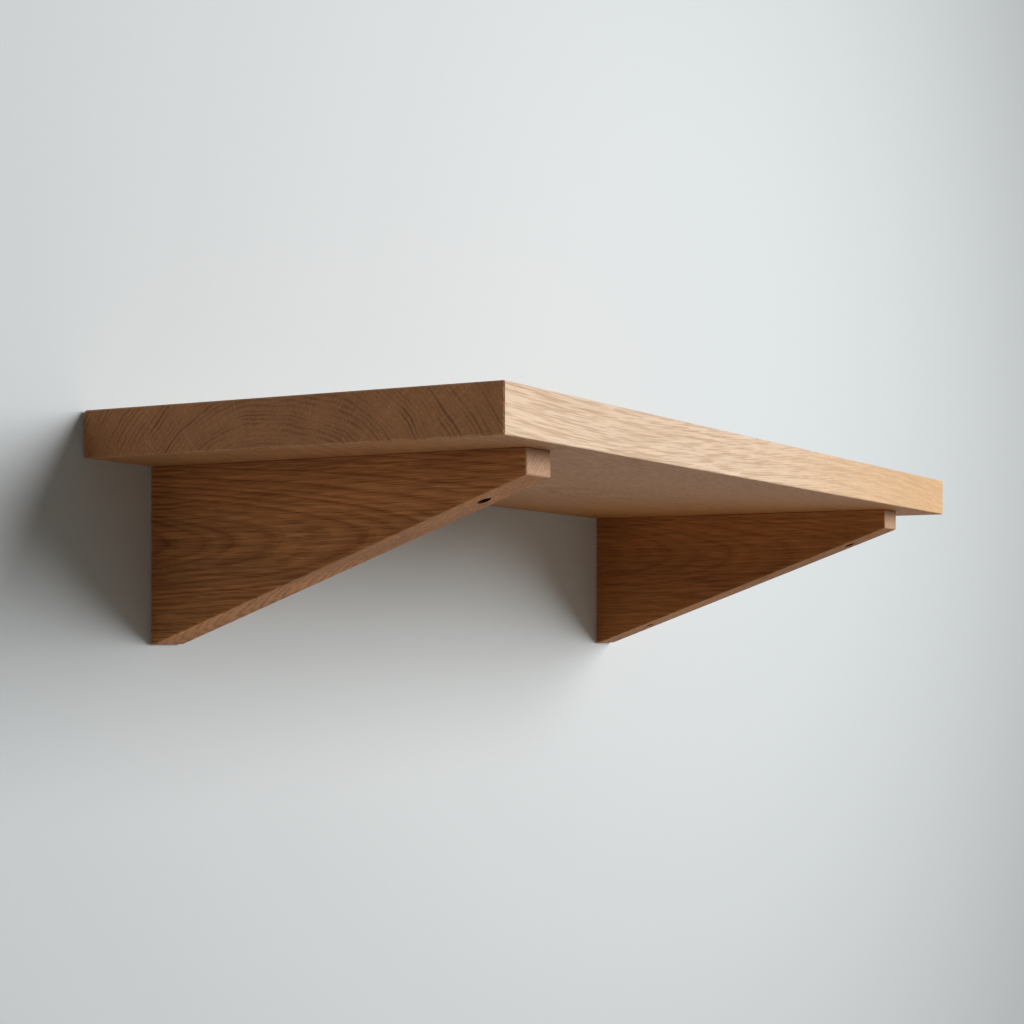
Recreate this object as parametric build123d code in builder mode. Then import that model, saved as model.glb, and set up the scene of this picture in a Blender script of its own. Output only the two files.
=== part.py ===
from build123d import *
import os
from math import cos, radians, sin

# Wall shelf in solid oak: a thick board on two tapered brackets.
# The brackets are doweled and screwed under the board, and hidden keyhole plates in
# their backs hang the shelf on the wall. A locking screw hole in the right bracket
# keeps it from being lifted off.
# Sizes are in millimetres. The origin is the middle of the board's back face, which
# lies on the wall. +X runs to the right along the wall, +Y into the wall and +Z up.

# Board
board_length = 800.0
board_depth = 300.0
board_thickness = 30.0
board_back_round = 3.0
board_front_round = 1.2
board_end_chamfer = 0.8

# Brackets
bracket_thickness = 30.0
bracket_end_overhang = 65.0
bracket_front_setback = 22.0
bracket_drop = 115.0
bracket_tip_height = 16.0
bracket_toe_flat = 3.0
bracket_arris_chamfer = 0.6

# Fluted dowels between each bracket and the board
dowel_diameter = 8.0
dowel_length = 35.0
dowel_chamfer = 0.8
dowel_flutes = 8
dowel_flute_depth = 0.5
dowel_setbacks = {"rear": 50.0, "middle": 140.0}
dowel_fit = 0.05

# Front screws, driven up through each bracket near its tip
front_screw_tip_setback = 37.0
front_screw_diameter = 3.5
front_screw_length = 40.0
front_screw_head_diameter = 7.0
front_screw_recess_span = 3.9
front_screw_bore_diameter = 8.0
front_screw_wood_above_bore = 17.0
front_screw_passage_fit = 0.25

# Keyhole plates, let into the backs of the brackets
plate_length = 44.0
plate_width = 16.0
plate_thickness = 2.0
plate_drop = 35.0
plate_sink = 0.2
plate_edge_fit = 0.1
keyhole_entry_diameter = 9.0
keyhole_slot_width = 4.5
keyhole_travel = 11.0
keyhole_entry_drop = 5.0
keyhole_pocket_width = 11.0
keyhole_pocket_depth = 9.0

# Plate screws
plate_screw_end_inset = 6.0
plate_screw_diameter = 3.0
plate_screw_length = 16.0
plate_screw_head_diameter = 5.6
plate_screw_recess_span = 2.9
plate_screw_passage_fit = 0.1

# What every wood screw and blind hole shares
screw_head_angle = 90.0
screw_head_rim = 0.3
screw_point_length = 4.0
screw_point_diameter = 0.6
screw_thread_fit = 0.05
screw_seat_fit = 0.05
recess_wing_width = 0.9
recess_depth = 1.6
recess_taper = 12.0
blind_hole_room = 1.0

# Locking screw hole through the right bracket, aimed up at the wall
lock_hole_diameter = 5.0
lock_hole_setback = 48.0
lock_hole_angle = 30.0

# Worked out from the sizes above
underside = -board_thickness / 2
bracket_reach = board_depth - bracket_front_setback
bracket_centre = board_length / 2 - bracket_end_overhang - bracket_thickness / 2
side_centres = {"left": -bracket_centre, "right": bracket_centre}
dowel_hole_depth = dowel_length / 2 + blind_hole_room
front_screw_setback = bracket_reach - front_screw_tip_setback
front_bore_floor = underside - front_screw_wood_above_bore
plate_centre_height = underside - plate_drop
keyhole_entry_height = plate_centre_height - keyhole_entry_drop
keyhole_slot_height = keyhole_entry_height + keyhole_travel
keyhole_middle_height = (keyhole_entry_height + keyhole_slot_height) / 2
plate_screw_offset = plate_length / 2 - plate_screw_end_inset
plate_screw_heights = {
    "upper": plate_centre_height + plate_screw_offset,
    "lower": plate_centre_height - plate_screw_offset,
}


def slope_height_at(setback):
    """Height of a bracket's sloping edge at a distance from the wall."""
    slope_run = bracket_reach - bracket_toe_flat
    slope_rise = bracket_drop - bracket_tip_height
    return underside - bracket_drop + slope_rise * (setback - bracket_toe_flat) / slope_run


def sink_radius(head_diameter):
    """Radius of a countersink, level with the head's top, that seats the whole head."""
    return head_diameter / 2 + screw_head_rim + screw_seat_fit


def make_board():
    """The plank, with blind holes in its underside for the dowels and front screws."""
    with BuildPart() as board:
        with BuildSketch(Plane.YZ) as section:
            with Locations((-board_depth / 2, 0)):
                Rectangle(board_depth, board_thickness)
        extrude(amount=board_length / 2, both=True)
        long_edges = board.edges().filter_by(Axis.X).group_by(Axis.Y)
        fillet(long_edges[-1], radius=board_back_round)
        fillet(long_edges[0], radius=board_front_round)
        ends = board.faces().filter_by(Plane.YZ).sort_by(Axis.X)
        chamfer(ends[0].edges() + ends[-1].edges(), length=board_end_chamfer)
        for centre in side_centres.values():
            for setback in dowel_setbacks.values():
                with Locations(Plane((centre, -setback, underside), z_dir=(0, 0, -1))):
                    Hole(dowel_diameter / 2 + dowel_fit, dowel_hole_depth)
            pilot_depth = front_screw_length - front_screw_wood_above_bore + blind_hole_room
            with Locations(Plane((centre, -front_screw_setback, underside), z_dir=(0, 0, -1))):
                Hole(front_screw_diameter / 2 + screw_thread_fit, pilot_depth)
    return board


def make_bracket(centre, has_lock_hole):
    """A tapered bracket with its dowel holes, screw holes and keyhole plate recess."""
    with BuildPart() as bracket:
        with BuildSketch(Plane.YZ.offset(centre)) as profile:
            with BuildLine():
                Polyline(
                    (0, underside),
                    (-bracket_reach, underside),
                    (-bracket_reach, underside - bracket_tip_height),
                    (-bracket_toe_flat, underside - bracket_drop),
                    (0, underside - bracket_drop),
                    close=True,
                )
            make_face()
        extrude(amount=bracket_thickness / 2, both=True)
        chamfer(bracket.edges(), length=bracket_arris_chamfer)

        # Blind dowel holes in the top
        with Locations([(centre, -setback, underside) for setback in dowel_setbacks.values()]):
            Hole(dowel_diameter / 2 + dowel_fit, dowel_hole_depth)

        # Counterbored and countersunk hole for the front screw, from the slope up
        with Locations(
            Plane((centre, -front_screw_setback, front_bore_floor), z_dir=(0, 0, -1))
        ):
            CounterSinkHole(
                front_screw_diameter / 2 + front_screw_passage_fit,
                front_screw_bore_diameter / 2,
                counter_sink_angle=screw_head_angle,
            )

        # Flush recess for the keyhole plate, and the deeper pocket for a wall screw's head
        with BuildSketch(Plane.XZ) as plate_recess:
            with Locations((centre, plate_centre_height)):
                SlotOverall(
                    plate_length + 2 * plate_edge_fit,
                    plate_width + 2 * plate_edge_fit,
                    rotation=90,
                )
        extrude(amount=plate_sink + plate_thickness, mode=Mode.SUBTRACT)
        with BuildSketch(Plane.XZ) as head_pocket:
            with Locations((centre, keyhole_middle_height)):
                SlotCenterToCenter(keyhole_travel, keyhole_pocket_width, rotation=90)
        extrude(
            amount=plate_sink + plate_thickness + keyhole_pocket_depth,
            mode=Mode.SUBTRACT,
        )

        # Pilot holes for the plate screws
        for height in plate_screw_heights.values():
            with Locations(Plane((centre, 0, height), z_dir=(0, 1, 0))):
                Hole(
                    plate_screw_diameter / 2 + screw_thread_fit,
                    plate_sink + plate_screw_length + blind_hole_room,
                )

        if has_lock_hole:
            mouth = (centre, -lock_hole_setback, slope_height_at(lock_hole_setback))
            rise = radians(lock_hole_angle)
            with Locations(Plane(mouth, z_dir=(0, -cos(rise), -sin(rise)))):
                Hole(lock_hole_diameter / 2)
    return bracket


def make_dowel(centre, setback):
    """A fluted dowel pin standing in the joint between a bracket and the board."""
    with BuildPart() as dowel:
        with BuildSketch(Plane.XY.offset(underside - dowel_length / 2)) as pin:
            with Locations((centre, -setback)):
                Circle(dowel_diameter / 2)
        extrude(amount=dowel_length)
        chamfer(dowel.edges().filter_by(GeomType.CIRCLE), length=dowel_chamfer)
        with BuildSketch(Plane.XY.offset(underside - dowel_length / 2)) as flutes:
            with Locations((centre, -setback)):
                with PolarLocations(dowel_diameter / 2, dowel_flutes):
                    RegularPolygon(dowel_flute_depth, side_count=4)
        extrude(amount=dowel_length, mode=Mode.SUBTRACT)
    return dowel


def make_screw(head_plane, diameter, length, head_diameter, recess_span):
    """A countersunk wood screw with a cross recess.

    The plane lies on the top of the head, and its normal points away from the shank.
    """
    cone_end = screw_head_rim + (head_diameter - diameter) / 2
    side_plane = Plane(head_plane.origin, x_dir=head_plane.x_dir, z_dir=-head_plane.y_dir)
    with BuildPart() as screw:
        with BuildSketch(side_plane) as half_profile:
            with BuildLine():
                Polyline(
                    (0, 0),
                    (head_diameter / 2, 0),
                    (head_diameter / 2, -screw_head_rim),
                    (diameter / 2, -cone_end),
                    (diameter / 2, -length + screw_point_length),
                    (screw_point_diameter / 2, -length),
                    (0, -length),
                    close=True,
                )
            make_face()
        revolve(axis=Axis(head_plane.origin, head_plane.z_dir))
        with BuildSketch(head_plane) as cross:
            Rectangle(recess_span, recess_wing_width)
            Rectangle(recess_wing_width, recess_span)
        extrude(amount=-recess_depth, taper=recess_taper, mode=Mode.SUBTRACT)
    return screw


def make_keyhole_plate(centre):
    """A steel hanging plate: entry hole, slot above it, and a countersunk hole at each end."""
    with BuildPart() as plate:
        with BuildSketch(Plane.XZ.offset(plate_sink)) as outline:
            with Locations((centre, plate_centre_height)):
                SlotOverall(plate_length, plate_width, rotation=90)
            with Locations((centre, keyhole_entry_height)):
                Circle(keyhole_entry_diameter / 2, mode=Mode.SUBTRACT)
            with Locations((centre, keyhole_middle_height)):
                SlotCenterToCenter(
                    keyhole_travel, keyhole_slot_width, rotation=90, mode=Mode.SUBTRACT
                )
        extrude(amount=plate_thickness)
        for height in plate_screw_heights.values():
            with Locations(Plane((centre, -plate_sink, height), z_dir=(0, 1, 0))):
                CounterSinkHole(
                    plate_screw_diameter / 2 + plate_screw_passage_fit,
                    sink_radius(plate_screw_head_diameter),
                    plate_thickness,
                    screw_head_angle,
                )
    return plate


def save(piece, name):
    """Label a finished piece and write it as a STEP file of the same name."""
    piece.part.label = name
    export_step(piece.part, f"parts/{name}.step")


os.makedirs("parts", exist_ok=True)

save(make_board(), "shelf_board")

for side, centre in side_centres.items():
    save(make_bracket(centre, has_lock_hole=side == "right"), f"{side}_bracket")

    for place, setback in dowel_setbacks.items():
        save(make_dowel(centre, setback), f"{side}_{place}_dowel")

    # The countersink starts as wide as the bore, so a narrower head seats above its floor
    head_lift = front_screw_bore_diameter / 2 - sink_radius(front_screw_head_diameter)
    front_head = Plane(
        (centre, -front_screw_setback, front_bore_floor + head_lift), z_dir=(0, 0, -1)
    )
    front_screw = make_screw(
        front_head,
        front_screw_diameter,
        front_screw_length,
        front_screw_head_diameter,
        front_screw_recess_span,
    )
    save(front_screw, f"{side}_front_screw")

    save(make_keyhole_plate(centre), f"{side}_keyhole_plate")
    for place, height in plate_screw_heights.items():
        plate_screw = make_screw(
            Plane((centre, -plate_sink, height), z_dir=(0, 1, 0)),
            plate_screw_diameter,
            plate_screw_length,
            plate_screw_head_diameter,
            plate_screw_recess_span,
        )
        save(plate_screw, f"{side}_{place}_plate_screw")
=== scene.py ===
"""Looks for an oak wall shelf on two tapered brackets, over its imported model."""
import logging
import math
from dataclasses import dataclass, field, replace
from enum import Enum
from typing import Any

import bpy
from mathutils import Matrix, Vector


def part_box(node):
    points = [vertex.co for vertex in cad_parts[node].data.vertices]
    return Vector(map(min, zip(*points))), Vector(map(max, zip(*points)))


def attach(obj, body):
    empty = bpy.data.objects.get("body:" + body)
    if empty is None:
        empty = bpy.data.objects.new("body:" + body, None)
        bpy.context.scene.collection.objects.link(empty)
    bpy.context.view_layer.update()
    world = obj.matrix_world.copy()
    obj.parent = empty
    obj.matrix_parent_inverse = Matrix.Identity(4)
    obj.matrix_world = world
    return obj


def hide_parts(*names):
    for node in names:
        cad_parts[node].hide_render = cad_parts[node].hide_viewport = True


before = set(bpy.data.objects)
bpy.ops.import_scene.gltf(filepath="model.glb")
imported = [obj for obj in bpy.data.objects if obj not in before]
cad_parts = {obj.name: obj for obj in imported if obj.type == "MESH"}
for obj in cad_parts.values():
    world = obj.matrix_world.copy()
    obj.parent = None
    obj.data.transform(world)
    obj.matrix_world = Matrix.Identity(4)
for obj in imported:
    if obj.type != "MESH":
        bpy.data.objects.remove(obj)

log = logging.getLogger("shelf")

Pair = tuple[float, float]
Triple = tuple[float, float, float]
Colour = tuple[float, float, float, float]
Box = tuple[Vector, Vector]
Socket = bpy.types.NodeSocket
Tree = bpy.types.NodeTree
Material = bpy.types.Material

WHITE: Colour = (1.0, 1.0, 1.0, 1.0)
# A stretch along the grain that lies beyond every piece.
NOWHERE: Pair = (9.0, 10.0)


def srgb(red: int, green: int, blue: int) -> Colour:
    """Linear colour with full alpha from three display values out of 255.

    Args:
        red: Red display value.
        green: Green display value.
        blue: Blue display value.

    Returns:
        The colour as a shader socket takes it.
    """
    linear = []
    for value in (red, green, blue):
        share = value / 255
        linear.append(share / 12.92 if share <= 0.04045 else ((share + 0.055) / 1.055) ** 2.4)
    return (*linear, 1.0)


def corners(node: str) -> Box:
    """A CAD node's lowest and highest corner."""
    low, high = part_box(node)
    return Vector(low), Vector(high)


class Side(Enum):
    """The two ends of the shelf, as seen from the room."""

    LEFT = "left"
    RIGHT = "right"


@dataclass(frozen=True)
class Bore:
    """A drilled hole, by a place on its line and the way it points, with painted shade on its
    wall.
    """

    place: Triple
    points: Triple
    radius: float


class Graph:
    """Adds nodes to one node tree and links them."""

    def __init__(self, tree: Tree) -> None:
        """Keeps a material's, a shader group's or a Geometry Nodes tree."""
        self.tree = tree

    @classmethod
    def of_material(cls, name: str) -> tuple[Material, "Graph"]:
        """A new material without nodes.

        Args:
            name: The material's name.

        Returns:
            The material and its graph.
        """
        made = bpy.data.materials.new(name)
        made.use_nodes = True
        made.node_tree.nodes.clear()
        return made, cls(made.node_tree)

    def feed(self, socket: Socket, value: Any) -> None:
        """Links an output to a socket, or sets the socket's own value.

        Args:
            socket: The input to fill.
            value: An output socket, a number, a vector or a colour.
        """
        if isinstance(value, bpy.types.NodeSocket):
            self.tree.links.new(value, socket)
        else:
            socket.default_value = value

    def add(self, kind: str, inputs: dict[Any, Any] | None = None, **settings: Any) -> Any:
        """Adds a node, with its settings before its inputs.

        Args:
            kind: The node's type.
            inputs: Values or output sockets, by input name or number.
            settings: The node's own properties.

        Returns:
            The outputs of the new node.
        """
        node = self.tree.nodes.new(kind)
        for name, value in settings.items():
            setattr(node, name, value)
        for key, value in (inputs or {}).items():
            self.feed(node.inputs[key], value)
        return node.outputs

    def group(self, tree: Tree, **inputs: Any) -> Any:
        """The outputs of a shared shader group, placed in this tree."""
        return self.add("ShaderNodeGroup", inputs, node_tree=tree)

    def math(self, operation: str, *values: Any, clamp: bool = False) -> Socket:
        """The result of a Math node, kept between 0 and 1 where clamp is set."""
        inputs = dict(enumerate(values))
        return self.add("ShaderNodeMath", inputs, operation=operation, use_clamp=clamp)[0]

    def times(self, first: Any, second: Any) -> Socket:
        """The product of two values."""
        return self.math("MULTIPLY", first, second)

    def minus(self, first: Any, second: Any) -> Socket:
        """The first value less the second."""
        return self.math("SUBTRACT", first, second)

    def raised(self, value: Any, factor: Any, base: Any) -> Socket:
        """A base with a value added to it by a factor."""
        return self.math("MULTIPLY_ADD", value, factor, base)

    def vector(self, operation: str, *values: Any, out: str = "Vector") -> Socket:
        """The result of a Vector Math node, its Value where that is a number."""
        inputs = dict(enumerate(values))
        return self.add("ShaderNodeVectorMath", inputs, operation=operation)[out]

    def mix(self, factor: Any, first: Any, second: Any, blend: str = "MIX") -> Socket:
        """Two colours mixed: the first at factor 0, the second at 1."""
        inputs = {0: factor, 6: first, 7: second}
        return self.add("ShaderNodeMix", inputs, data_type="RGBA", blend_type=blend)[2]

    def shaded(self, colour: Any, share: Socket) -> Socket:
        """A colour made lighter or darker by a share."""
        return self.mix(1.0, colour, self.join(share, share, share), "MULTIPLY")

    def ramp(
        self, value: Any, low: float, high: float, start: float = 0.0, end: float = 1.0
    ) -> Socket:
        """A smooth step of a value, from start at low to end at high."""
        inputs = {0: value, 1: low, 2: high, 3: start, 4: end}
        return self.add("ShaderNodeMapRange", inputs, interpolation_type="SMOOTHSTEP")[0]

    def noise(
        self, vector: Any, scale: Any = 1.0, detail: float = 2.0, roughness: float = 0.5
    ) -> Socket:
        """Noise around 0.5; detail is its octaves, roughness the finer ones' share."""
        inputs = {"Vector": vector, "Scale": scale, "Detail": detail, "Roughness": roughness}
        return self.add("ShaderNodeTexNoise", inputs)[0]

    def swing(
        self, vector: Any, cells: Any, detail: float = 2.0, roughness: float = 0.5
    ) -> Socket:
        """Noise round zero, with its own frequency per metre along each axis."""
        stretched = self.vector("MULTIPLY", vector, cells)
        return self.minus(self.noise(stretched, detail=detail, roughness=roughness), 0.5)

    def split(self, vector: Any) -> tuple[Socket, ...]:
        """The X, Y and Z sockets of a vector."""
        return tuple(self.add("ShaderNodeSeparateXYZ", {0: vector}))

    def join(self, x: Any, y: Any, z: Any) -> Socket:
        """A vector from its X, Y and Z."""
        return self.add("ShaderNodeCombineXYZ", {0: x, 1: y, 2: z})[0]

    def relief(self, height: Socket, distance: float, strength: float) -> Socket:
        """A normal bumped by a height, where 1 stands out by the distance."""
        inputs = {"Height": height, "Distance": distance, "Strength": strength}
        return self.add("ShaderNodeBump", inputs)[0]

    def surface(self, shader: Socket) -> None:
        """Links a shader to the material's output."""
        self.add("ShaderNodeOutputMaterial", {"Surface": shader})


class ShaderGroups:
    """Effects that several finishes share, each one shader group with named sockets.

    Every wood effect reads the log's own space: X along the grain, and Y and Z across it,
    measured from the pith. Cells are frequencies per metre, and steps are where a mask
    begins and where it is full.
    """

    swell_cells: Triple = (2.2, 14.0, 14.0)
    swell_gain: float = 4.0
    ripple_cells: Triple = (9.0, 60.0, 60.0)
    ripple_share: float = 0.22
    year_cells: float = 0.35
    uneven_years: float = 1.6
    waver_cells: Triple = (16.0, 55.0, 55.0)
    early_edge: float = 0.12
    early_lift: float = 0.2
    pore_step: Pair = (0.56, 0.82)
    ray_cells: Triple = (70.0, 0.1, 45.0)
    ray_step: Pair = (0.58, 0.74)
    end_step: Pair = (0.2, 0.8)
    wear_cells: float = 90.0
    wear_step: Pair = (0.35, 0.7)
    bore_step: Pair = (0.0001, 0.0005)
    mottle_cells: float = 420.0

    def __init__(self) -> None:
        """Builds every group once."""
        self.rings = self._growth_rings()
        self.pores = self._pores()
        self.rays = self._ray_flecks()
        self.fibre = self._fibre()
        self.end_grain = self._end_grain()
        self.arris = self._arris_wear()
        self.brushing = self._brushing()
        self.bore = self._bore()

    @staticmethod
    def _start(name: str, inputs: dict[str, Any], *outputs: str) -> tuple[Graph, Any, Any]:
        """A new group with its named sockets.

        Args:
            name: The group's name.
            inputs: The default by input name: a number, a vector, or None for a vector
                that every user of the group links.
            outputs: The names of its outputs, which are all numbers.

        Returns:
            The group's graph, and the inner sockets of its inputs and outputs.
        """
        tree = bpy.data.node_groups.new(name, "ShaderNodeTree")
        for label, value in inputs.items():
            kind = "NodeSocketFloat" if isinstance(value, float) else "NodeSocketVector"
            socket = tree.interface.new_socket(label, in_out="INPUT", socket_type=kind)
            if value is not None:
                socket.default_value = value
        for label in outputs:
            tree.interface.new_socket(label, in_out="OUTPUT", socket_type="NodeSocketFloat")
        graph = Graph(tree)
        source = graph.add("NodeGroupInput")
        target = tree.nodes.new("NodeGroupOutput").inputs
        return graph, source, target

    def _drawn_out(self, graph: Graph, source: Any) -> Socket:
        """Wavering cells, long with the grain and narrow across it.

        Args:
            graph: The group's graph.
            source: Its inner inputs, with Vector, Length, Width and Waver.

        Returns:
            The vector to read a noise of scale 1 at.
        """
        long = graph.math("DIVIDE", 1.0, source["Length"])
        fine = graph.math("DIVIDE", 1.0, source["Width"])
        wave = graph.times(graph.swing(source["Vector"], self.waver_cells), source["Waver"])
        bent = graph.vector("ADD", source["Vector"], graph.join(0.0, wave, wave))
        return graph.vector("MULTIPLY", bent, graph.join(long, fine, fine))

    def _growth_rings(self) -> Tree:
        """Yearly rings round the pith: their phase, a tone for each, and radius and angle.

        Returns:
            The group.
        """
        inputs = {"Vector": None, "Spacing": 0.0035, "Wander": 0.003}
        outputs = ("Phase", "Tone", "Radius", "Angle")
        graph, source, target = self._start("growth rings", inputs, *outputs)
        x, y, z = graph.split(source["Vector"])
        swell = graph.swing(source["Vector"], self.swell_cells, roughness=0.45)
        ripple = graph.swing(source["Vector"], self.ripple_cells)
        push = graph.raised(ripple, self.ripple_share, swell)
        shift = graph.times(push, graph.times(source["Wander"], self.swell_gain))
        across = graph.vector("LENGTH", graph.join(0.0, y, z), out="Value")
        radius = graph.math("ADD", across, shift)
        years = graph.math("DIVIDE", radius, source["Spacing"])
        uneven = graph.noise(graph.join(years, 0.0, 0.0), self.year_cells, 1.0)
        years = graph.raised(uneven, self.uneven_years, years)
        year = {"W": graph.math("FLOOR", years)}
        tone = graph.add("ShaderNodeTexWhiteNoise", year, noise_dimensions="1D")[0]
        graph.feed(target["Phase"], graph.math("FRACT", years))
        graph.feed(target["Tone"], tone)
        graph.feed(target["Radius"], radius)
        graph.feed(target["Angle"], graph.math("ARCTAN2", z, y))
        return graph.tree

    def _pores(self) -> Tree:
        """Vessels cut open: broken dashes along the grain, dots across it, most in early wood.

        Returns:
            The group.
        """
        inputs = {
            "Vector": None,
            "Phase": 0.5,
            "Length": 0.012,
            "Width": 0.0011,
            "Early": 0.5,
            "Late": 0.25,
            "Waver": 0.003,
        }
        graph, source, target = self._start("pores", inputs, "Mask")
        dash = graph.noise(self._drawn_out(graph, source), detail=1.5)
        middle = graph.math("ABSOLUTE", graph.minus(source["Phase"], 0.5))
        late_half = graph.times(graph.minus(1.0, source["Early"]), 0.5)
        early = graph.ramp(graph.minus(middle, late_half), -self.early_edge, self.early_edge)
        chance = graph.math("MAXIMUM", early, source["Late"])
        level = graph.raised(chance, self.early_lift, dash)
        graph.feed(target["Mask"], graph.ramp(level, *self.pore_step))
        return graph.tree

    def _ray_flecks(self) -> Tree:
        """Medullary rays: thin radial sheets, seen as lines on end grain and flecks elsewhere.

        Returns:
            The group.
        """
        inputs = {"Vector": None, "Radius": 0.1, "Angle": 0.0, "Fineness": 900.0}
        graph, source, target = self._start("ray flecks", inputs, "Mask")
        along_cells, around_cells, outward_cells = self.ray_cells
        along = graph.times(graph.split(source["Vector"])[0], along_cells)
        around = graph.times(graph.times(source["Angle"], around_cells), source["Fineness"])
        outward = graph.times(source["Radius"], outward_cells)
        value = graph.noise(graph.join(along, around, outward), detail=1.0, roughness=0.4)
        graph.feed(target["Mask"], graph.ramp(value, *self.ray_step))
        return graph.tree

    def _fibre(self) -> Tree:
        """Fine streaks along the grain, round zero.

        Returns:
            The group.
        """
        inputs = {"Vector": None, "Length": 0.05, "Width": 0.0012, "Waver": 0.003}
        graph, source, target = self._start("fibre", inputs, "Streak")
        value = graph.noise(self._drawn_out(graph, source), detail=3.0, roughness=0.6)
        graph.feed(target["Streak"], graph.minus(value, 0.5))
        return graph.tree

    def _end_grain(self) -> Tree:
        """How squarely the surface cuts the grain.

        Returns:
            The group.
        """
        inputs = {"Normal": None, "Grain": (1.0, 0.0, 0.0)}
        graph, source, target = self._start("end grain", inputs, "Mask")
        facing = graph.vector("DOT_PRODUCT", source["Normal"], source["Grain"], out="Value")
        facing = graph.math("ABSOLUTE", facing)
        graph.feed(target["Mask"], graph.ramp(facing, *self.end_step))
        return graph.tree

    def _arris_wear(self) -> Tree:
        """A broken line of handling wear along the edges of a box.

        Returns:
            The group.
        """
        inputs = {
            "Vector": None,
            "Centre": (0.0, 0.0, 0.0),
            "Half": (1.0, 1.0, 1.0),
            "Width": 0.0015,
        }
        graph, source, target = self._start("arris wear", inputs, "Mask")
        spot = source["Vector"]
        away = graph.vector("ABSOLUTE", graph.vector("SUBTRACT", spot, source["Centre"]))
        x, y, z = graph.split(graph.vector("SUBTRACT", source["Half"], away))
        further = [graph.math("MAXIMUM", *pair) for pair in ((x, y), (y, z), (x, z))]
        second = graph.math("MINIMUM", graph.math("MINIMUM", *further[:2]), further[2])
        edge = graph.minus(1.0, graph.math("DIVIDE", second, source["Width"]))
        rubbed = graph.noise(spot, self.wear_cells, 3.0, 0.6)
        broken = graph.ramp(rubbed, *self.wear_step)
        graph.feed(target["Mask"], graph.times(graph.ramp(edge, 0.0, 1.0), broken))
        return graph.tree

    def _bore(self) -> Tree:
        """Painted shade on the wall of a drilled hole, by its distance from the hole's line.

        Returns:
            The group.
        """
        inputs = {
            "Vector": None,
            "Place": (0.0, 0.0, 0.0),
            "Points": (0.0, 0.0, 1.0),
            "Radius": 0.004,
        }
        graph, source, target = self._start("bore", inputs, "Mask")
        away = graph.vector("SUBTRACT", source["Vector"], source["Place"])
        across = graph.vector("CROSS_PRODUCT", away, source["Points"])
        off = graph.minus(graph.vector("LENGTH", across, out="Value"), source["Radius"])
        graph.feed(target["Mask"], graph.ramp(off, *self.bore_step, 1.0, 0.0))
        return graph.tree

    def _brushing(self) -> Tree:
        """Fine lines of brushed metal along one direction, round zero, and a soft mottle.

        Returns:
            The group.
        """
        inputs = {"Vector": None, "Stretch": (9e3, 9e3, 200.0)}
        graph, source, target = self._start("brushing", inputs, "Line", "Mottle")
        line = graph.swing(source["Vector"], source["Stretch"], roughness=0.6)
        graph.feed(target["Line"], line)
        mottle = graph.noise(source["Vector"], self.mottle_cells, 3.0, 0.55)
        graph.feed(target["Mottle"], mottle)
        return graph.tree

    def worn_edges(self, graph: Graph, spot: Socket, box: Box, width: float) -> Socket:
        """The mask of handling wear along the edges of one piece.

        Args:
            graph: The material's graph.
            spot: The piece's own coordinates.
            box: The piece's lowest and highest corner.
            width: How far the wear reaches in from an edge.

        Returns:
            The mask's socket.
        """
        low, high = box
        centre, half = tuple((low + high) / 2), tuple((high - low) / 2)
        return graph.group(self.arris, Vector=spot, Centre=centre, Half=half, Width=width)[0]


@dataclass(frozen=True)
class Marks:
    """The marks of one timber, as sockets of its material."""

    rings: Any
    pores: Socket
    rays: Socket
    streak: Socket
    drift: Socket
    along: Socket


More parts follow.
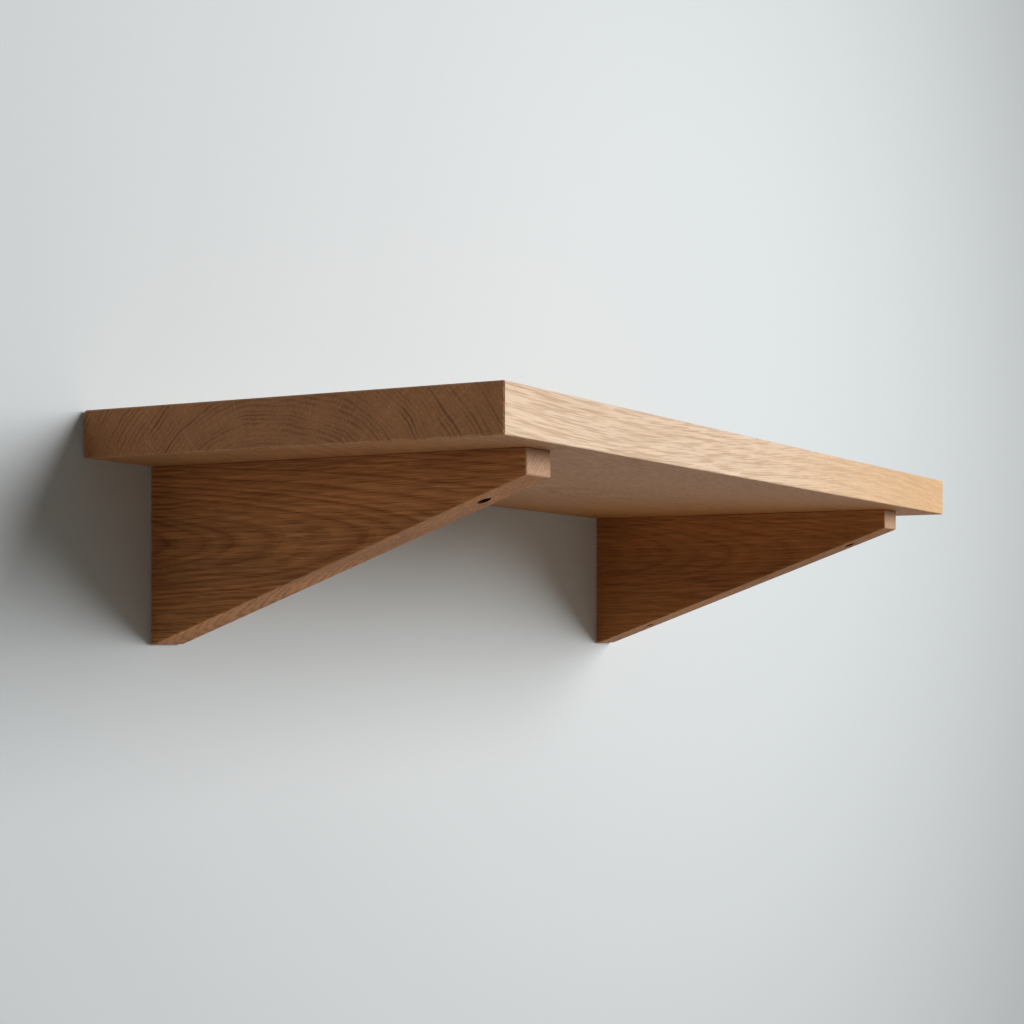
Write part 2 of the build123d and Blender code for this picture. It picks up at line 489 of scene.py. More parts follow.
@dataclass(frozen=True)
class Timber:
    """A wood finish, oiled and satin.

    The pith runs along X turned by log_turn, through log_centre, and draws the rings. The
    fibres and pores run along X turned by fibre_turn. A trunk that grew with a slow sway
    strays by sway to either side, and runs lowest at sway_dip and every sway_length on.
    Phases are shares of a year's ring, and spans are where a change begins and ends.
    """

    name: str
    grain: Triple
    log_centre: Triple
    log_turn: Triple
    fibre_turn: Triple
    pale: Colour
    late: Colour
    pore: Colour
    end_pale: Colour
    end_dark: Colour
    end_pore: Colour
    ray: Colour
    warm: Colour = srgb(222, 176, 122)
    warm_span: Pair = NOWHERE
    warm_wander: float = 0.1
    warm_strength: float = 0.8
    warm_calm: float = 0.75
    # Painted shade or painted light: faces that turn down have their colour multiplied by this,
    # fully past the span's upper end.
    painted_underside_shading: Colour = WHITE
    painted_underside_span: Pair = (0.6, 0.95)
    bores: tuple[Bore, ...] = ()
    # Painted shade inside drilled holes.
    painted_bore_shade: Colour = srgb(58, 32, 18)
    ring_spacing: float = 0.0034
    ring_wander: float = 0.0025
    ring_strength: float = 0.6
    late_span: Pair = (0.25, 0.85)
    late_least: float = 0.2
    end_contrast: float = 0.6
    end_phase: float = 0.4
    end_span: Pair = (0.05, 0.4)
    end_least: float = 0.3
    patch_cells: Pair = (75.0, 4.5)
    patch_span: Pair = (0.34, 0.66)
    patch_least: float = 0.25
    pore_length: float = 0.012
    pore_width: float = 0.00055
    pore_strength: float = 0.45
    late_pores: float = 0.35
    end_pores: float = 0.5
    waver: float = 0.002
    sway: float = 0.0
    sway_length: float = 1.0
    sway_dip: float = -0.285
    ray_strength: float = 0.2
    end_ray_share: float = 0.6
    streak_length: float = 0.05
    streak_width: float = 0.0012
    streak_strength: float = 0.4
    drift: float = 0.2
    end_drift: float = 0.25
    drift_cells: Triple = (3.0, 22.0, 22.0)
    wear_width: float = 0.0015
    wear_strength: float = 0.25
    roughness: float = 0.52
    pore_roughness: float = 0.2
    end_roughness: float = 0.08
    gloss: float = 0.25
    relief: float = 0.00012
    relief_strength: float = 0.8
    fibre_relief: float = 0.5

    def material(self, groups: ShaderGroups, box: Box) -> Material:
        """The finish for one piece of this timber.

        Args:
            groups: The shared shader groups.
            box: The piece's lowest and highest corner.

        Returns:
            The material.
        """
        made, graph = Graph.of_material(self.name)
        place = graph.add("ShaderNodeTexCoord")
        spot, normal = place["Object"], place["Normal"]
        marks = self._marks(graph, groups, spot)
        end = graph.group(groups.end_grain, Normal=normal, Grain=self.grain)["Mask"]
        face = self._face(graph, marks)
        # Painted shade or painted light on faces that turn down, by a multiplied colour.
        below = graph.ramp(graph.times(graph.split(normal)[2], -1.0), *self.painted_underside_span)
        face = graph.mix(below, face, graph.mix(1.0, face, self.painted_underside_shading, "MULTIPLY"))
        colour = graph.mix(end, face, self._end(graph, marks))
        wear = groups.worn_edges(graph, spot, box, self.wear_width)
        colour = graph.mix(graph.times(wear, self.wear_strength), colour, self.ray)
        # Painted shade darkens the walls of the drilled holes.
        for bore in self.bores:
            hole = {"Place": bore.place, "Points": bore.points, "Radius": bore.radius}
            wall = graph.group(groups.bore, Vector=spot, **hole)["Mask"]
            colour = graph.mix(wall, colour, self.painted_bore_shade)
        rough = graph.raised(marks.pores, self.pore_roughness, self.roughness)
        rough = graph.raised(end, self.end_roughness, rough)
        height = graph.raised(marks.pores, -1.0, graph.times(marks.streak, self.fibre_relief))
        shader = graph.add(
            "ShaderNodeBsdfPrincipled",
            {
                "Base Color": colour,
                "Roughness": rough,
                "Normal": graph.relief(height, self.relief, self.relief_strength),
                "Specular IOR Level": self.gloss,
            },
        )
        graph.surface(shader[0])
        return made

    def _marks(self, graph: Graph, groups: ShaderGroups, spot: Socket) -> Marks:
        """Rings, pores, rays, streaks and slow drift, where the piece lies in its log.

        Args:
            graph: The material's graph.
            groups: The shared shader groups.
            spot: The piece's own coordinates.

        Returns:
            The marks.
        """
        straight = self._straightened(graph, spot)
        turned = []
        for turn in (self.log_turn, self.fibre_turn):
            mapping = {"Vector": straight, "Location": self.log_centre, "Rotation": turn}
            turned.append(graph.add("ShaderNodeMapping", mapping, vector_type="TEXTURE")[0])
        wood, along = turned
        spacing = {"Spacing": self.ring_spacing, "Wander": self.ring_wander}
        rings = graph.group(groups.rings, Vector=wood, **spacing)
        pore = {"Length": self.pore_length, "Width": self.pore_width, "Late": self.late_pores}
        fibre = {"Length": self.streak_length, "Width": self.streak_width}
        common = {"Vector": along, "Waver": self.waver}
        round_pith = {"Radius": rings["Radius"], "Angle": rings["Angle"]}
        return Marks(
            rings=rings,
            pores=graph.group(groups.pores, Phase=rings["Phase"], **pore, **common)["Mask"],
            rays=graph.group(groups.rays, Vector=wood, **round_pith)["Mask"],
            streak=graph.group(groups.fibre, **fibre, **common)["Streak"],
            drift=graph.swing(wood, self.drift_cells, detail=3.0),
            along=graph.split(along)[0],
        )

    def _straightened(self, graph: Graph, spot: Socket) -> Socket:
        """The piece's own coordinates, with the slow sway of the grown trunk taken out.

        Args:
            graph: The material's graph.
            spot: The piece's own coordinates.

        Returns:
            The straightened coordinates.
        """
        if not self.sway:
            return spot
        x, y, z = graph.split(spot)
        turn = graph.times(graph.minus(x, self.sway_dip), math.tau / self.sway_length)
        return graph.join(x, y, graph.raised(graph.math("COSINE", turn), self.sway, z))

    def _face(self, graph: Graph, marks: Marks) -> Socket:
        """The colour where the surface runs with the grain.

        Args:
            graph: The material's graph.
            marks: The timber's marks.

        Returns:
            The colour's socket.
        """
        late = graph.ramp(marks.rings["Phase"], *self.late_span)
        tone = graph.raised(marks.rings["Tone"], 1.0 - self.late_least, self.late_least)
        late = graph.times(graph.times(late, tone), self.ring_strength)
        colour = graph.mix(late, self.pale, self.late)
        reach = graph.raised(marks.drift, self.warm_wander, marks.along)
        warm = graph.ramp(reach, *self.warm_span)
        colour = graph.mix(graph.times(warm, self.warm_strength), colour, self.warm)
        light = graph.raised(marks.drift, self.drift * 2, 1.0)
        light = graph.raised(marks.streak, self.streak_strength, light)
        colour = graph.shaded(colour, light)
        colour = graph.mix(graph.times(marks.rays, self.ray_strength), colour, self.ray)
        calm = -self.warm_calm * self.pore_strength
        show = graph.raised(warm, calm, self.pore_strength)
        return graph.mix(graph.times(marks.pores, show), colour, self.pore)

    def _end(self, graph: Graph, marks: Marks) -> Socket:
        """The colour where the surface cuts across the grain.

        Args:
            graph: The material's graph.
            marks: The timber's marks.

        Returns:
            The colour's socket.
        """
        rings = marks.rings
        dark = graph.math("ABSOLUTE", graph.minus(rings["Phase"], self.end_phase))
        dark = graph.ramp(dark, *self.end_span, 1.0, 0.0)
        tone = graph.raised(rings["Tone"], 1.0 - self.end_least, self.end_least)
        outward = graph.times(rings["Radius"], self.patch_cells[0])
        around = graph.times(rings["Angle"], self.patch_cells[1])
        patches = graph.noise(graph.join(outward, around, 0.0), roughness=0.6)
        patches = graph.ramp(patches, *self.patch_span, self.patch_least, 1.0)
        strength = graph.times(patches, self.end_contrast)
        dark = graph.times(graph.times(dark, tone), strength)
        colour = graph.mix(dark, self.end_pale, self.end_dark)
        colour = graph.shaded(colour, graph.raised(marks.drift, self.end_drift * 2, 1.0))
        rays = graph.times(marks.rays, self.ray_strength * self.end_ray_share)
        colour = graph.mix(rays, colour, self.ray)
        return graph.mix(graph.times(marks.pores, self.end_pores), colour, self.end_pore)


@dataclass(frozen=True)
class ZincSteel:
    """Zinc-plated steel, brushed along one axis."""

    name: str = "zinc-plated steel"
    bright: Colour = srgb(205, 207, 210)
    dull: Colour = srgb(160, 163, 168)
    stretch: Triple = (9e3, 9e3, 200.0)
    mottle_span: Pair = (0.35, 0.65)
    wear_width: float = 0.0006
    wear_strength: float = 0.5
    roughness: float = 0.26
    mottle_roughness: float = 0.16
    relief: float = 0.00002
    relief_strength: float = 0.5

    def material(self, groups: ShaderGroups, box: Box) -> Material:
        """The finish for one steel piece.

        Args:
            groups: The shared shader groups.
            box: The piece's lowest and highest corner.

        Returns:
            The material.
        """
        made, graph = Graph.of_material(self.name)
        spot = graph.add("ShaderNodeTexCoord")["Object"]
        brushing = graph.group(groups.brushing, Vector=spot, Stretch=self.stretch)
        wear = groups.worn_edges(graph, spot, box, self.wear_width)
        mottle = brushing["Mottle"]
        colour = graph.mix(graph.ramp(mottle, *self.mottle_span), self.dull, self.bright)
        colour = graph.mix(graph.times(wear, self.wear_strength), colour, self.bright)
        shader = graph.add(
            "ShaderNodeBsdfPrincipled",
            {
                "Base Color": colour,
                "Roughness": graph.raised(mottle, self.mottle_roughness, self.roughness),
                "Metallic": 1.0,
                "Normal": graph.relief(brushing["Line"], self.relief, self.relief_strength),
            },
        )
        graph.surface(shader[0])
        return made


@dataclass(frozen=True)
class WoodScrew:
    """A countersunk wood screw with a rolled thread, made by Geometry Nodes."""

    diameter: float
    head_diameter: float
    recess_span: float
    points: Triple
    thread_share: float
    thread_pitch: float = 0.0016
    thread_depth: float = 0.0004
    head_rim: float = 0.0003
    point_length: float = 0.004
    recess_width: float = 0.0009
    recess_depth: float = 0.0016
    segments: int = 32

    def build(self, node: str, tree: Tree, finish: Material) -> bpy.types.Object:
        """The screw in place of a CAD node.

        Args:
            node: The node's name.
            tree: The screw's Geometry Nodes tree.
            finish: Its material.

        Returns:
            The finished piece.
        """
        low, high = corners(node)
        way = Vector(self.points)
        length = abs((high - low).dot(way))
        head = (low + high) / 2 - way * length / 2
        piece = bpy.data.objects.new(f"{node}_threaded", bpy.data.meshes.new("screw"))
        bpy.context.scene.collection.objects.link(piece)
        modifier = piece.modifiers.new("screw", "NODES")
        modifier.node_group = tree
        threaded = length * self.thread_share
        values = {
            "Length": length,
            "Core Radius": self.diameter / 2 - self.thread_depth,
            "Head Radius": self.head_diameter / 2,
            "Head Rim": self.head_rim,
            "Point Length": self.point_length,
            "Thread Depth": self.thread_depth,
            "Thread Length": threaded,
            "Thread Turns": threaded / self.thread_pitch,
            "Recess Span": self.recess_span,
            "Recess Width": self.recess_width,
            "Recess Depth": self.recess_depth,
            "Segments": self.segments,
            "Finish": finish,
        }
        for item in tree.interface.items_tree:
            if item.in_out == "INPUT" and item.name in values:
                modifier[item.identifier] = values[item.name]
        bpy.context.view_layer.update()
        graph = bpy.context.evaluated_depsgraph_get()
        plain = bpy.data.meshes.new_from_object(piece.evaluated_get(graph))
        piece.modifiers.remove(modifier)
        piece.data = plain
        turn = Vector((0.0, 0.0, -1.0)).rotation_difference(way).to_matrix().to_4x4()
        plain.transform(Matrix.Translation(head) @ turn)
        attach(piece, "root")
        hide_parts(node)
        return piece


class ScrewTree:
    """The Geometry Nodes tree of a wood screw: head top at the origin, point along -Z."""

    lengths: tuple[str, ...] = (
        "Length",
        "Core Radius",
        "Head Radius",
        "Head Rim",
        "Point Length",
        "Thread Depth",
        "Thread Length",
        "Thread Turns",
        "Recess Span",
        "Recess Width",
        "Recess Depth",
    )
    point_share: float = 0.12
    weld: float = 1e-6
    recess_taper: float = 0.28
    turn_steps: int = 20
    ridge_sides: int = 4
    ridge_start: Pair = (0.0, 0.2)
    ridge_end: Pair = (0.9, 1.0)
    ridge_least: float = 0.08
    crease: float = math.radians(28)

    def __init__(self) -> None:
        """Builds the tree once."""
        self.tree = bpy.data.node_groups.new("wood screw", "GeometryNodeTree")
        self.graph = Graph(self.tree)
        sockets = {"Geometry": "NodeSocketGeometry"}
        sockets |= {name: "NodeSocketFloat" for name in self.lengths}
        sockets |= {"Segments": "NodeSocketInt", "Finish": "NodeSocketMaterial"}
        interface = self.tree.interface
        for name, kind in sockets.items():
            interface.new_socket(name, in_out="INPUT", socket_type=kind)
        interface.new_socket("Geometry", in_out="OUTPUT", socket_type="NodeSocketGeometry")
        self.sizes = self.graph.add("NodeGroupInput")
        self._finish()

    def _joined(self, parts: list[Socket]) -> Socket:
        """Several geometries as one.

        Args:
            parts: The geometries' sockets.

        Returns:
            The geometry's socket.
        """
        node = self.tree.nodes.new("GeometryNodeJoinGeometry")
        for part in parts:
            self.tree.links.new(part, node.inputs[0])
        return node.outputs[0]

    def _moved(self, geometry: Socket, height: Any) -> Socket:
        """A geometry lifted to a height."""
        inputs = {"Geometry": geometry, "Translation": self.graph.join(0.0, 0.0, height)}
        return self.graph.add("GeometryNodeTransform", inputs)[0]

    def _frustum(self, top_radius: Any, bottom_radius: Any, top: Any, depth: Any) -> Socket:
        """A round length of the body, hanging from a height, with open ends.

        Args:
            top_radius: Radius at its top.
            bottom_radius: Radius at its bottom.
            top: Height of its top.
            depth: How far it reaches down.

        Returns:
            The geometry's socket.
        """
        inputs = {
            "Vertices": self.sizes["Segments"],
            "Radius Top": top_radius,
            "Radius Bottom": bottom_radius,
            "Depth": depth,
        }
        cone = self.graph.add("GeometryNodeMeshCone", inputs, fill_type="NONE")["Mesh"]
        return self._moved(cone, self.graph.minus(top, depth))

    def _cap(self, radius: Any, height: Any) -> Socket:
        """A filled disc across the screw.

        Args:
            radius: Its radius.
            height: Where it lies.

        Returns:
            The geometry's socket.
        """
        inputs = {"Vertices": self.sizes["Segments"], "Radius": radius}
        disc = self.graph.add("GeometryNodeMeshCircle", inputs, fill_type="NGON")[0]
        return self._moved(disc, height)

    def _body(self) -> Socket:
        """Head, neck, core and point, joined into one closed skin.

        Returns:
            The geometry's socket.
        """
        graph, sizes = self.graph, self.sizes
        rim, head, core = sizes["Head Rim"], sizes["Head Radius"], sizes["Core Radius"]
        taper = graph.minus(head, core)
        under_rim = graph.times(rim, -1.0)
        neck = graph.minus(under_rim, taper)
        unpointed = graph.minus(sizes["Length"], sizes["Point Length"])
        straight = graph.math("ADD", unpointed, neck)
        point_top = graph.minus(neck, straight)
        tip = graph.times(core, self.point_share)
        skin = self._joined(
            [
                self._frustum(head, head, 0.0, rim),
                self._frustum(head, core, under_rim, taper),
                self._frustum(core, core, neck, straight),
                self._frustum(core, tip, point_top, sizes["Point Length"]),
                self._cap(head, 0.0),
                self._cap(tip, graph.times(sizes["Length"], -1.0)),
            ]
        )
        merged = {"Geometry": skin, "Distance": self.weld}
        return graph.add("GeometryNodeMergeByDistance", merged)[0]

    def _recess(self) -> list[Socket]:
        """The two tapered wings of the cross recess.

        Returns:
            The wings' geometry sockets.
        """
        graph, sizes = self.graph, self.sizes
        deep = graph.times(sizes["Recess Depth"], 2.0)
        span, width = sizes["Recess Span"], sizes["Recess Width"]
        wings = []
        for size in ((span, width), (width, span)):
            cube = graph.add("GeometryNodeMeshCube", {"Size": graph.join(*size, deep)})["Mesh"]
            x, y, z = graph.split(graph.add("GeometryNodeInputPosition")[0])
            share = graph.math("DIVIDE", z, sizes["Recess Depth"])
            keep = graph.raised(share, self.recess_taper, 1.0)
            shaped = graph.join(graph.times(x, keep), graph.times(y, keep), z)
            moved = {"Geometry": cube, "Position": shaped}
            wings.append(graph.add("GeometryNodeSetPosition", moved)[0])
        return wings

    def _thread(self) -> Socket:
        """A ridge that winds round the core and runs out at the neck and at the point.

        Returns:
            The geometry's socket.
        """
        graph, sizes = self.graph, self.sizes
        winding = {
            "Resolution": self.turn_steps,
            "Rotations": sizes["Thread Turns"],
            "Start Radius": sizes["Core Radius"],
            "End Radius": sizes["Core Radius"],
            "Height": sizes["Thread Length"],
        }
        spiral = graph.add("GeometryNodeCurveSpiral", winding)[0]
        lowered = self._moved(spiral, graph.times(sizes["Length"], -1.0))
        x, y, z = graph.split(graph.add("GeometryNodeInputPosition")[0])
        above = graph.math("ADD", z, sizes["Length"])
        share = graph.math("DIVIDE", above, sizes["Point Length"], clamp=True)
        share = graph.raised(share, 1.0 - self.point_share, self.point_share)
        drawn = graph.join(graph.times(x, share), graph.times(y, share), z)
        inputs = {"Geometry": lowered, "Position": drawn}
        shaped = graph.add("GeometryNodeSetPosition", inputs)[0]
        upright = graph.add("GeometryNodeSetCurveNormal", {"Curve": shaped}, mode="Z_UP")[0]
        along = graph.add("GeometryNodeSplineParameter")["Factor"]
        rise = graph.ramp(along, *self.ridge_start)
        fall = graph.ramp(along, *self.ridge_end, 1.0, 0.0)
        height = graph.math("MAXIMUM", graph.times(rise, fall), self.ridge_least)
        inputs = {"Curve": upright, "Radius": height}
        sized = graph.add("GeometryNodeSetCurveRadius", inputs)[0]
        inputs = {"Resolution": self.ridge_sides, "Radius": sizes["Thread Depth"]}
        ridge = graph.add("GeometryNodeCurvePrimitiveCircle", inputs)[0]
        swept = {
            "Curve": sized,
            "Profile Curve": ridge,
            "Scale": graph.add("GeometryNodeInputRadius")[0],
            "Fill Caps": True,
        }
        return graph.add("GeometryNodeCurveToMesh", swept)[0]

    def _finish(self) -> None:
        """Cuts the recess, adds the thread, and sets shading and material."""
        graph = self.graph
        cut = self.tree.nodes.new("GeometryNodeMeshBoolean")
        cut.operation = "DIFFERENCE"
        self.tree.links.new(self._body(), cut.inputs["Mesh 1"])
        for wing in self._recess():
            self.tree.links.new(wing, cut.inputs["Mesh 2"])
        whole = self._joined([cut.outputs[0], self._thread()])
        inputs = {"Geometry": whole, "Shade Smooth": True}
        smooth = graph.add("GeometryNodeSetShadeSmooth", inputs)[0]
        angle = graph.add("GeometryNodeInputMeshEdgeAngle")["Unsigned Angle"]
        inputs = {0: angle, 1: self.crease}
        crisp = graph.add("FunctionNodeCompare", inputs, operation="GREATER_THAN")[0]
        inputs = {"Geometry": smooth, "Selection": crisp, "Shade Smooth": False}
        edges = graph.add("GeometryNodeSetShadeSmooth", inputs, domain="EDGE")[0]
        real = graph.add("GeometryNodeRealizeInstances", {"Geometry": edges})[0]
        inputs = {"Geometry": real, "Material": self.sizes["Finish"]}
        dressed = graph.add("GeometryNodeSetMaterial", inputs)[0]
        graph.add("NodeGroupOutput", {0: dressed})


BOARD_OAK = Timber(
    name="oak board",
    grain=(1.0, 0.0, 0.0),
    log_centre=(0.0, -0.140, -0.0906),
    log_turn=(0.0, math.radians(1.6), math.radians(0.6)),
    fibre_turn=(0.0, 0.0, 0.0),
    pale=srgb(225, 199, 173),
    late=srgb(211, 179, 147),
    pore=srgb(172, 132, 98),
    end_pale=srgb(192, 134, 89),
    end_dark=srgb(118, 74, 44),
    end_pore=srgb(104, 62, 34),
    ray=srgb(240, 216, 188),
    warm_span=(-0.12, 0.38),
    # Painted shade: the board's underside darker and warmer than its top and front.
    painted_underside_shading=(0.70, 0.47, 0.29, 1.0),
    ring_spacing=0.003,
    ring_wander=0.004,
    ring_strength=0.38,
    end_contrast=0.95,
    pore_length=0.026,
    pore_width=0.0007,
    pore_strength=0.5,
    late_pores=0.45,
    end_pores=0.35,
    waver=0.0009,
    sway=0.0125,
    drift=0.12,
)

LEFT_OAK = Timber(
    name="oak bracket",
    grain=(0.0, 1.0, 0.0),
    log_centre=(-0.300, -0.130, -0.064),
    log_turn=(0.0, 0.0, math.radians(95.5)),
    fibre_turn=(0.0, 0.0, math.radians(90.8)),
    pale=srgb(192, 131, 81),
    late=srgb(158, 97, 57),
    pore=srgb(90, 50, 26),
    end_pale=srgb(192, 156, 131),
    end_dark=srgb(168, 128, 100),
    end_pore=srgb(140, 100, 72),
    ray=srgb(206, 156, 108),
    # Painted light: the brackets' faces that turn down, their sloped edge and foot, a little
    # lighter.
    painted_underside_shading=(1.1, 1.12, 1.1, 1.0),
    ring_spacing=0.0028,
    ring_strength=0.7,
    end_contrast=0.22,
    pore_length=0.022,
    pore_width=0.00075,
    pore_strength=0.38,
    waver=0.0035,
    streak_length=0.07,
    streak_width=0.0021,
    streak_strength=1.6,
    drift=0.42,
    gloss=0.12,
)

RIGHT_OAK = replace(
    LEFT_OAK,
    log_centre=(0.354, -0.200, -0.048),
    pale=srgb(178, 118, 67),
    late=srgb(148, 90, 48),
    ring_strength=0.35,
    pore_strength=0.25,
)

# The log's centre is set for each pin.
BEECH = Timber(
    name="beech dowel",
    grain=(0.0, 0.0, 1.0),
    log_centre=(0.0, 0.0, 0.0),
    log_turn=(0.0, math.radians(-90.0), 0.0),
    fibre_turn=(0.0, math.radians(-90.0), 0.0),
    pale=srgb(216, 184, 148),
    late=srgb(202, 164, 126),
    pore=srgb(164, 118, 84),
    end_pale=srgb(204, 168, 132),
    end_dark=srgb(180, 140, 104),
    end_pore=srgb(150, 108, 76),
    ray=srgb(176, 124, 90),
    ring_spacing=0.0025,
    pore_length=0.0018,
    pore_width=0.0003,
    pore_strength=0.4,
    ray_strength=0.4,
)

FRONT_SCREW = WoodScrew(
    diameter=0.0035,
    head_diameter=0.007,
    recess_span=0.0039,
    points=(0.0, 0.0, 1.0),
    thread_share=0.55,
)

PLATE_SCREW = WoodScrew(
    diameter=0.003,
    head_diameter=0.0056,
    recess_span=0.0029,
    points=(0.0, -1.0, 0.0),
    thread_share=0.8,
    thread_pitch=0.0013,
)


def dress(node: str, finish: Timber | ZincSteel, groups: ShaderGroups) -> None:
    """Assigns a finish to a CAD node.

    Args:
        node: The node's name.
        finish: The finish to give it.
        groups: The shared shader groups.
    """
    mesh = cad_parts[node].data
    mesh.materials.clear()
    mesh.materials.append(finish.material(groups, corners(node)))
    log.info("%s: %s", node, finish.name)


@dataclass
class Board:
    """The plank."""

    node: str = "shelf_board"
    timber: Timber = BOARD_OAK

    def dress(self, groups: ShaderGroups) -> None:
        """Gives the plank its timber."""
        dress(self.node, self.timber, groups)


@dataclass
class Bracket:
    """One tapered bracket with its dowels, screws and keyhole plate.

    A bore's place gives its Y and Z, and the bracket's middle its X.
    """

    side: Side
    screws: ScrewTree
    middle: float = 0.320
    screw_bore: Bore = Bore((0.0, -0.241, 0.0), (0.0, 0.0, 1.0), 0.004)
    lock_bore: Bore = Bore((0.0, -0.048, -0.1138), (0.0, 0.8660, 0.5), 0.0025)
    front_screw: WoodScrew = FRONT_SCREW
    plate_screw: WoodScrew = PLATE_SCREW
    plate_ends: tuple[str, ...] = ("upper", "lower")
    dowel_places: tuple[str, ...] = ("rear", "middle")
    dowel_pith: Pair = (0.03, 0.02)
    steel: ZincSteel = field(default_factory=ZincSteel)

    def dress(self, groups: ShaderGroups) -> None:
        """Dresses the bracket and what is let into it.

        Args:
            groups: The shared shader groups.
        """
        side = self.side.value
        dress(f"{side}_bracket", self.timber(), groups)
        for place in self.dowel_places:
            node = f"{side}_{place}_dowel"
            dress(node, self.dowel_timber(node), groups)
        dress(f"{side}_keyhole_plate", self.steel, groups)
        self.fasten(groups)

    def timber(self) -> Timber:
        """The oak of this bracket, with painted shade in the holes that are drilled in it.

        Returns:
            The timber.
        """
        oak, middle, bores = LEFT_OAK, -self.middle, [self.screw_bore]
        if self.side is Side.RIGHT:
            oak, middle, bores = RIGHT_OAK, self.middle, [self.screw_bore, self.lock_bore]
        placed = tuple(replace(bore, place=(middle, *bore.place[1:])) for bore in bores)
        return replace(oak, bores=placed)

    def dowel_timber(self, node: str) -> Timber:
        """The beech of one dowel, with its pith to one side of the pin.

        Args:
            node: The dowel's CAD node.

        Returns:
            The timber.
        """
        low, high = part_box(node)
        x, y = ((low[axis] + high[axis]) / 2 + self.dowel_pith[axis] for axis in (0, 1))
        return replace(BEECH, log_centre=(x, y, 0.0))

    def fasten(self, groups: ShaderGroups) -> None:
        """Puts threaded screws in place of the plain ones.

        Args:
            groups: The shared shader groups.
        """
        side = self.side.value
        screws = {f"{side}_front_screw": self.front_screw}
        screws |= {f"{side}_{end}_plate_screw": self.plate_screw for end in self.plate_ends}
        for node, screw in screws.items():
            finish = self.steel.material(groups, corners(node))
            piece = screw.build(node, self.screws.tree, finish)
            log.info("%s: %d faces", piece.name, len(piece.data.polygons))


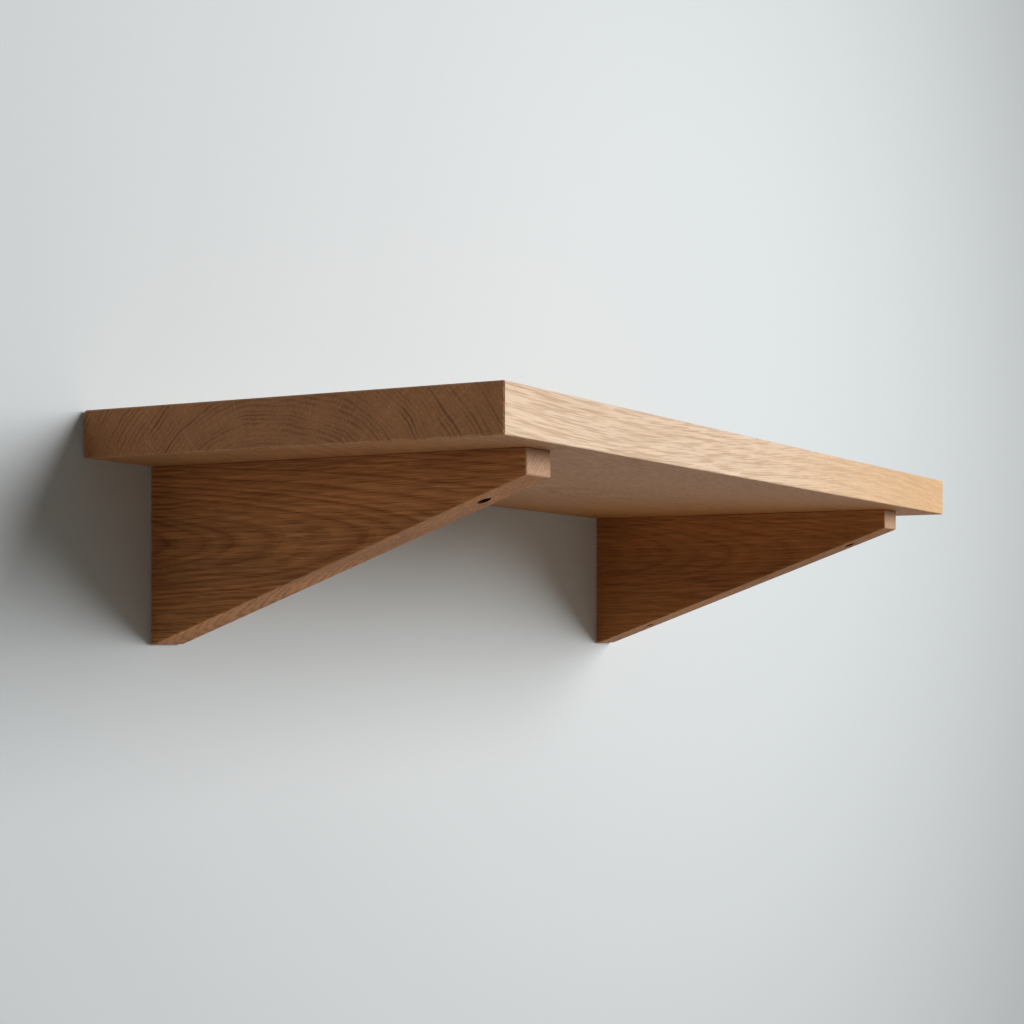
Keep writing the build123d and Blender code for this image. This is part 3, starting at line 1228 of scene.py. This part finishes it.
@dataclass
class Studio:
    """Camera, wall with a painted pool of light, floor and soft light."""

    camera_place: Triple = (-1.347342, -0.834575, -0.126498)
    camera_yaw: float = math.radians(29.217)
    near_clip: float = 0.01
    lens: float = 70.03
    sensor: float = 36.0
    shift_up: float = 0.12386
    wall_gap: float = 0.0004
    touch: float = 0.003
    floor_height: float = -1.4
    reach: float = 6.0
    wall_colour: Colour = srgb(216, 223, 227)
    # The colour the painted pool of light dims to at the wall's edges.
    wall_painted_dim_edge: Colour = srgb(134, 139, 142)
    wall_bounce: Colour = srgb(172, 172, 172)
    wall_roughness: float = 0.85
    wall_cells: float = 900.0
    wall_relief: float = 0.0002
    wall_relief_strength: float = 0.35
    # A painted pool of light on the wall: its centre, its reach along each axis, and how deep it
    # falls off.
    painted_light_centre: Triple = (0.52, 0.0, 0.23)
    painted_light_reach: Triple = (2.17, 1.0, 1.67)
    painted_light_fall: float = 0.165
    floor_colour: Colour = srgb(214, 212, 208)
    floor_bounce: Colour = srgb(178, 166, 146)
    floor_roughness: float = 0.8
    key_azimuth: float = math.radians(30.0)
    key_elevation: float = math.radians(17.0)
    key_spread: float = math.radians(32.0)
    key_strength: float = 3.5
    key_colour: Triple = (1.0, 0.985, 0.965)
    world_light: Colour = (0.076, 0.0815, 0.085, 1.0)
    world_seen: Colour = srgb(190, 195, 198)

    def build(self) -> None:
        """Sets the camera first, then the room and its light."""
        self.set_camera()
        self.build_wall()
        self.build_floor()
        self.set_light()
        bpy.context.scene.view_settings.view_transform = "Standard"

    def set_camera(self) -> None:
        """The photograph's view: level, turned to the right, with the frame shifted up."""
        data = bpy.data.cameras.new("camera")
        data.sensor_width = self.sensor
        data.lens = self.lens
        data.shift_y = self.shift_up
        data.clip_start = self.near_clip
        camera = bpy.data.objects.new("camera", data)
        camera.location = self.camera_place
        camera.rotation_euler = (math.pi / 2, 0.0, self.camera_yaw - math.pi / 2)
        bpy.context.scene.collection.objects.link(camera)
        bpy.context.scene.camera = camera

    @staticmethod
    def plane(name: str, outline: list[Triple], finish: Material) -> None:
        """A flat stage piece.

        Args:
            name: Its name.
            outline: Its corners, anticlockwise from its front.
            finish: Its material.
        """
        mesh = bpy.data.meshes.new(name)
        mesh.from_pydata(outline, [], [tuple(range(len(outline)))])
        mesh.materials.append(finish)
        piece = bpy.data.objects.new(name, mesh)
        bpy.context.scene.collection.objects.link(piece)

    @staticmethod
    def straight_rays(graph: Graph, path: Any) -> Socket:
        """1 where a backdrop is seen, in gloss or glass too, 0 where it bounces light."""
        seen = graph.math("MAXIMUM", path["Is Camera Ray"], path["Is Glossy Ray"])
        return graph.math("MAXIMUM", seen, path["Is Transmission Ray"])

    def build_wall(self) -> None:
        """A wall with a painted pool of light, seen from the room and clear from behind.

        It is clear at once to rays that start on the shelf's back, which lies on it.
        """
        made, graph = Graph.of_material("wall paint")
        spot = graph.add("ShaderNodeTexCoord")["Object"]
        # Painted light: the wall is lightest round a centre and dims towards its edges.
        away = graph.vector("SUBTRACT", spot, self.painted_light_centre)
        away = graph.vector("DIVIDE", away, self.painted_light_reach)
        fall = graph.vector("DOT_PRODUCT", away, away, out="Value")
        painted_light_pool = graph.math("POWER", self.painted_light_fall, fall)
        seen = graph.mix(painted_light_pool, self.wall_painted_dim_edge, self.wall_colour)
        path = graph.add("ShaderNodeLightPath")
        grain = graph.noise(spot, self.wall_cells, 3.0, 0.6)
        paint = graph.add(
            "ShaderNodeBsdfPrincipled",
            {
                "Base Color": graph.mix(self.straight_rays(graph, path), self.wall_bounce, seen),
                "Roughness": self.wall_roughness,
                "Normal": graph.relief(grain, self.wall_relief, self.wall_relief_strength),
            },
        )
        clear = graph.add("ShaderNodeBsdfTransparent")
        touching = graph.math("LESS_THAN", path["Ray Length"], self.touch)
        behind = graph.add("ShaderNodeNewGeometry")["Backfacing"]
        see_through = graph.math("MAXIMUM", touching, behind)
        mixed = graph.add("ShaderNodeMixShader", {0: see_through, 1: paint[0], 2: clear[0]})
        graph.surface(mixed[0])
        reach, y, floor = self.reach, self.wall_gap, self.floor_height
        outline = [(-reach, y, floor), (reach, y, floor), (reach, y, reach), (-reach, y, reach)]
        self.plane("wall", outline, made)

    def build_floor(self) -> None:
        """A plain pale floor below the shelf."""
        made, graph = Graph.of_material("floor paint")
        seen = self.straight_rays(graph, graph.add("ShaderNodeLightPath"))
        colour = graph.mix(seen, self.floor_bounce, self.floor_colour)
        inputs = {"Base Color": colour, "Roughness": self.floor_roughness}
        graph.surface(graph.add("ShaderNodeBsdfPrincipled", inputs)[0])
        reach, z = self.reach, self.floor_height
        outline = [(-reach, -reach, z), (reach, -reach, z), (reach, 0.0, z), (-reach, 0.0, z)]
        self.plane("floor", outline, made)

    def set_light(self) -> None:
        """A wide soft key from the right and a little above, and a low even world."""
        data = bpy.data.lights.new("key", "SUN")
        data.angle = self.key_spread
        data.energy = self.key_strength
        data.color = self.key_colour
        lamp = bpy.data.objects.new("key", data)
        flat = math.cos(self.key_elevation)
        x = math.sin(self.key_azimuth) * flat
        y = -math.cos(self.key_azimuth) * flat
        source = Vector((x, y, math.sin(self.key_elevation)))
        lamp.rotation_euler = (-source).to_track_quat("-Z", "Y").to_euler()
        bpy.context.scene.collection.objects.link(lamp)
        world = bpy.data.worlds.new("room")
        bpy.context.scene.world = world
        world.use_nodes = True
        graph = Graph(world.node_tree)
        background = world.node_tree.nodes["Background"]
        seen = self.straight_rays(graph, graph.add("ShaderNodeLightPath"))
        graph.feed(background.inputs["Color"], graph.mix(seen, self.world_light, self.world_seen))


def main() -> None:
    """Builds the studio and dresses the shelf, piece by piece."""
    logging.basicConfig(level=logging.INFO, format="%(name)s: %(message)s")
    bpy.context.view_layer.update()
    Studio().build()
    groups = ShaderGroups()
    Board().dress(groups)
    screws = ScrewTree()
    for side in Side:
        Bracket(side, screws).dress(groups)


if __name__ == "__main__":
    main()
